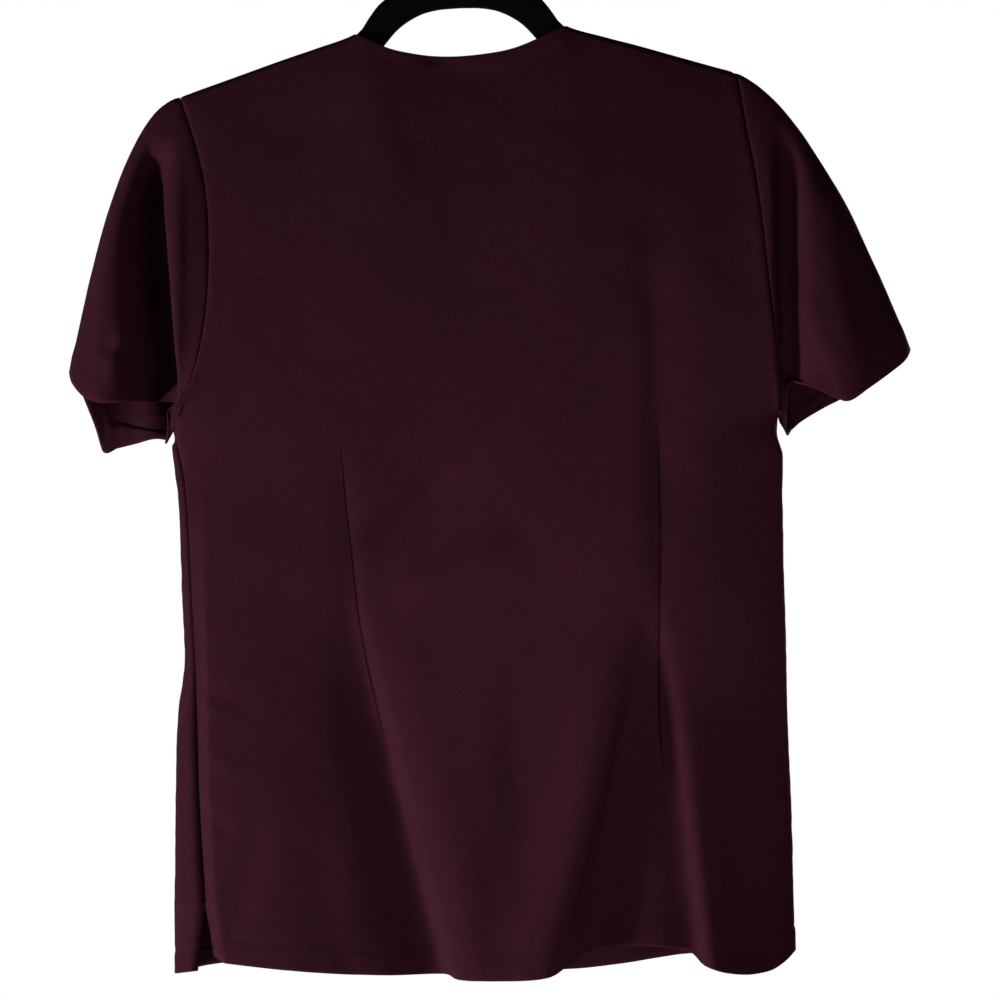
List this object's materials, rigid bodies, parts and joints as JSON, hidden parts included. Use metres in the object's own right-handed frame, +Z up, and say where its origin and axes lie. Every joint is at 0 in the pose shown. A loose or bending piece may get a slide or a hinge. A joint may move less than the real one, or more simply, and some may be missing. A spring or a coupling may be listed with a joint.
{
  "type": "scrub top on a hanger",
  "caption": "Short-sleeved medical scrub top with long back darts and side vents, hung on a thin flocked hanger with a wire hook.",
  "frame": {"origin": "inside top of the hanger's hook, where a rail carries it", "axes": "+Z up; the garment's front faces -Y and its back +Y; the wearer's left is +X"},
  "size_m": [0.6185, 0.0952, 0.8232],
  "materials": {
    "burgundy_twill": "matt fine twill with a slight sheen",
    "black_flock": "short black flock",
    "hook_wire": "bright plated wire"
  },
  "bodies": {
    "root": {"back_panel": "burgundy_twill", "front_panel": "burgundy_twill", "sleeve_left": "burgundy_twill", "sleeve_right": "burgundy_twill", "hanger_body": "black_flock", "hanger_hook": "hook_wire"}
  },
  "joints": []
}
